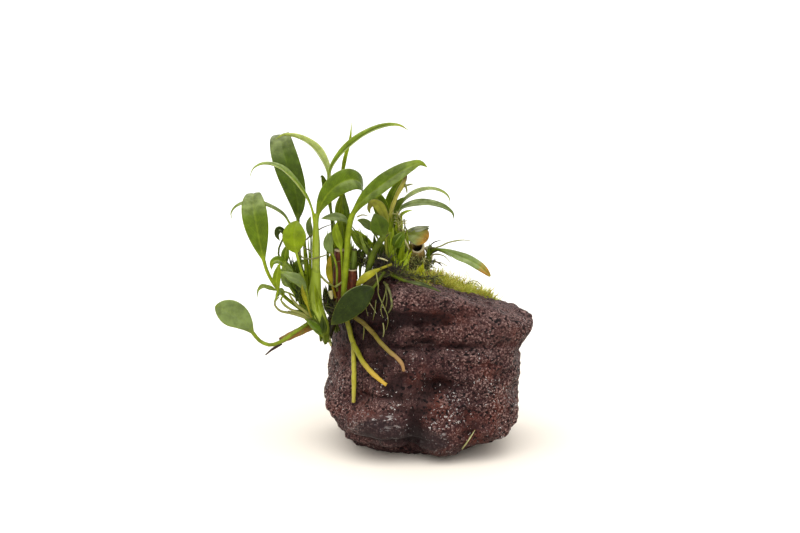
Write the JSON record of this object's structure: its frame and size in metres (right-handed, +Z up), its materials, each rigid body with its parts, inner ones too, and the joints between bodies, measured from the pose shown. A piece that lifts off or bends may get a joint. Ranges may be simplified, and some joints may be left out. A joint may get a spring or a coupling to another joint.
{
  "type": "anubias on stone",
  "caption": "Creeping water plant with slim arching leaves, cut stumps and loose yellow roots, grown fast to a blunt block of pitted dark lava with a patch of moss.",
  "frame": {"origin": "middle of the stone's flat foot, on the surface that it rests on", "axes": "+Z up, -Y towards the viewer of the front, +X to that viewer's right"},
  "size_m": [0.1244, 0.07, 0.1306],
  "materials": {
    "stone": "satin",
    "moss": "matte",
    "rhizome": "satin",
    "crown": "satin",
    "stalk": "satin",
    "stump": "satin",
    "stump_straw": "satin",
    "greenstub": "satin",
    "stub": "satin",
    "root_dead": "matte",
    "root": "satin",
    "leaf_mid": "gloss",
    "leaf_dark": "gloss",
    "leaf_deep": "gloss",
    "leaf_pale": "satin",
    "leaf_fresh": "satin",
    "leaf_bright": "gloss",
    "leaf_light": "gloss",
    "leaf_grey": "gloss",
    "leaf_greyed": "gloss",
    "leaf_yellow": "satin",
    "leaf_dying": "satin",
    "leaf_tipped": "gloss",
    "leaf_orange": "satin"
  },
  "bodies": {
    "root": {"stone": "stone", "moss_pad": "moss", "rhizome": "rhizome", "crown_left": "crown", "crown_right": "crown", "stalk_old": "stalk", "stump_tall": "stump", "stump_cut": "stump", "stump_straw": "stump_straw", "shoot_stub": "greenstub", "stub_orange": "stub", "sheath_old": "leaf_orange", "root_dead": "root_dead", "root_yellow": "root", "root_straight": "root", "root_brown": "root", "leaf_front_tall": "leaf_mid", "leaf_arch_left": "leaf_mid", "leaf_tall_dark": "leaf_dark", "leaf_left_upright": "leaf_mid", "leaf_arch_behind": "leaf_mid", "leaf_arch_top": "leaf_pale", "leaf_right_reaching": "leaf_mid", "leaf_young_rolled": "leaf_fresh", "leaf_tip_hidden": "leaf_dark", "leaf_big_right": "leaf_mid", "leaf_mid_right_back": "leaf_mid", "leaf_mid_right_lit": "leaf_mid", "leaf_curled_brown": "leaf_yellow", "leaf_round_dark": "leaf_dark", "leaf_right_upper_arch": "leaf_grey", "leaf_right_lower_arch": "leaf_dark", "leaf_small_dark_top": "leaf_dark", "leaf_yellow_curl": "leaf_fresh", "leaf_dying_tip": "leaf_dying", "leaf_low_right": "leaf_tipped", "leaf_on_stone": "leaf_dark", "leaf_yellow_old": "leaf_yellow", "leaf_front_dark": "leaf_deep", "leaf_far_left": "leaf_greyed", "leaf_ovate_light": "leaf_light", "leaf_small_hook": "leaf_deep", "leaf_small_upright": "leaf_mid", "leaf_small_folded": "leaf_mid", "leaf_small_bright": "leaf_bright", "leaf_small_sheen": "leaf_greyed", "leaf_small_hanging": "leaf_dark", "leaf_small_back_a": "leaf_greyed", "leaf_small_drooping": "leaf_bright", "leaf_small_strip": "leaf_greyed", "leaf_narrow": "leaf_yellow", "leaf_small_grey": "leaf_greyed", "leaf_centre_grey": "leaf_greyed", "leaf_centre_spindle": "leaf_greyed", "leaf_centre_bright": "leaf_bright", "leaf_centre_slim": "leaf_dark", "leaf_centre_low": "leaf_bright", "leaf_centre_right": "leaf_mid", "leaf_centre_strip": "leaf_fresh", "leaf_centre_dark": "leaf_greyed"}
  },
  "joints": []
}
